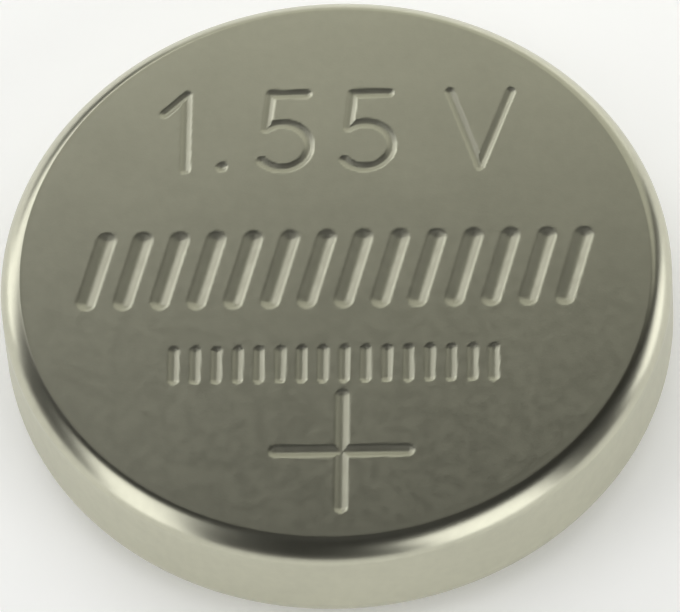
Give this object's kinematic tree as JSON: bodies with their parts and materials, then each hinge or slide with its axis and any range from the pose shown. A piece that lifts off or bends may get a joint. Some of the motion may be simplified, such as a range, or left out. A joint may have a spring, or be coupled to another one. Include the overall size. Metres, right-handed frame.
{
  "type": "button cell battery",
  "caption": "Flat round silver oxide button cell: a crimped metal can with stamped marks on its positive face, sealed by a plastic ring round the negative cap and the active layers inside.",
  "frame": {"origin": "centre of the negative contact, on the surface that the cell lies on", "axes": "+Z along the cell's axis towards the positive face; +X along the rows of marks, reading direction; +Y towards the figures, away from the plus sign"},
  "size_m": [0.0094, 0.0094, 0.0021],
  "materials": {
    "nickel_plated_steel": "satin nickel plating, bright on the drawn corner",
    "nickel_clad_steel": "satin nickel",
    "nylon": "natural, moulded",
    "silver_oxide": "pressed powder, near black",
    "ring_steel": "plain",
    "membrane": "thin translucent film, modelled opaque",
    "felt": "non-woven",
    "zinc_gel": "gelled metal powder"
  },
  "bodies": {
    "root": {"positive_can": "nickel_plated_steel", "negative_cap": "nickel_clad_steel", "gasket": "nylon", "cathode_pellet": "silver_oxide", "support_ring": "ring_steel", "barrier_film": "membrane", "absorbent_disc": "felt", "zinc_anode": "zinc_gel"}
  },
  "joints": []
}
